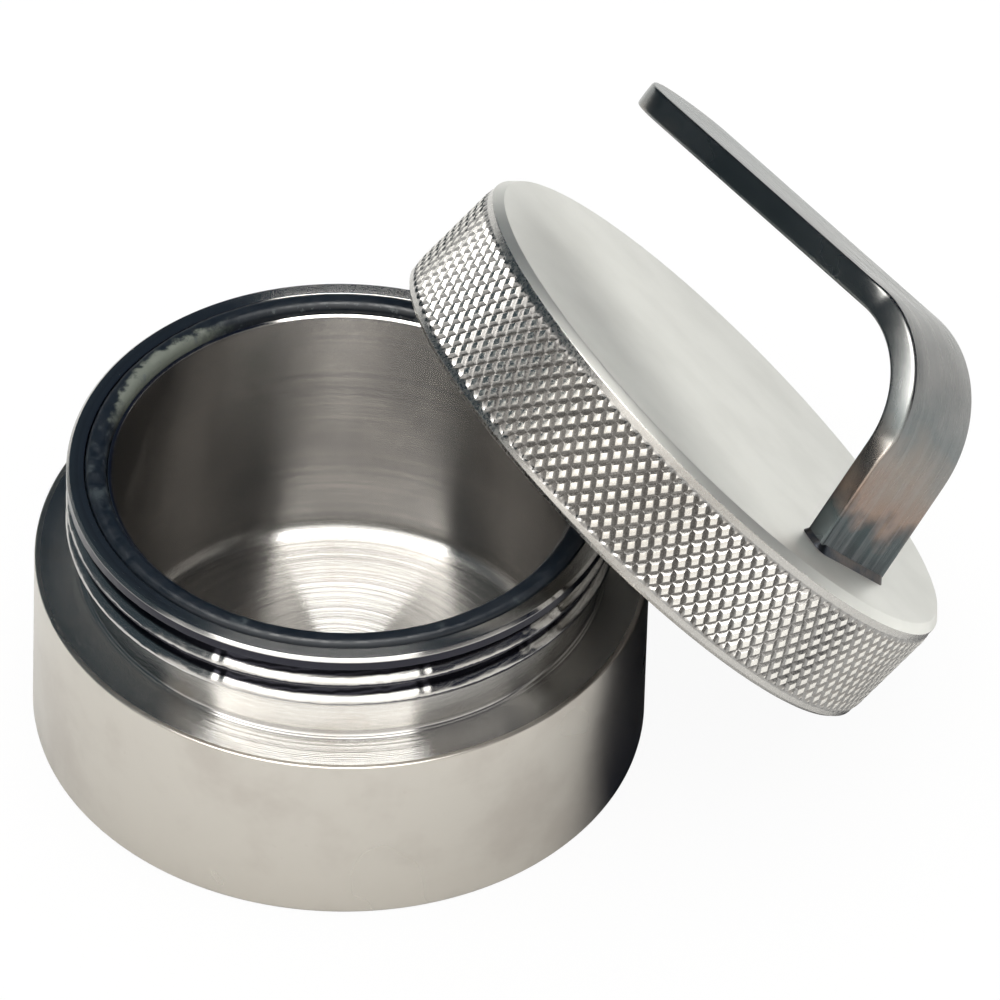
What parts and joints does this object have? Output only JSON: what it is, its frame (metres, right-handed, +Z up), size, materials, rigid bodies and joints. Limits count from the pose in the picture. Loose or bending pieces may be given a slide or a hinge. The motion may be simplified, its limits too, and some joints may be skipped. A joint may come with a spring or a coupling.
{
  "type": "fuel sampler cup",
  "caption": "Turned stainless cup with a screw neck and rim seal, and a knurled screw cap with a welded strip handle leaning on it.",
  "frame": {"origin": "centre of the cup's flat base", "axes": "+Z up the cup's axis, +X the way the leaning cap slopes down to the ground"},
  "size_m": [0.0895, 0.0658, 0.0531],
  "materials": {
    "cup_steel": "fine turned stainless steel with a satin side",
    "seal_rubber": "smooth black rubber",
    "cap_steel": "matt stainless steel with a diamond knurl",
    "strip_steel": "bright rolled strip with heat tint at its foot",
    "weld_steel": "heat-darkened weld bead"
  },
  "bodies": {
    "cup": {"cup_body": "cup_steel"},
    "seal": {"rim_seal": "seal_rubber"},
    "cap": {"lid_cap": "cap_steel", "handle_strip": "strip_steel", "handle_weld": "weld_steel"}
  },
  "joints": [
    {"name": "lid_turn", "type": "hinge", "parent": "cup", "child": "seal", "pos_m": [0, 0, 0.0303], "axis": [0, 0, 1], "continuous": true},
    {"name": "lid_swing", "type": "hinge", "parent": "seal", "child": "cap", "pos_m": [-0.00774, -0.00232, 0.00048], "axis": [0.2651, -0.7627, 0.59], "range_deg": [0, 61.02]}
  ]
}
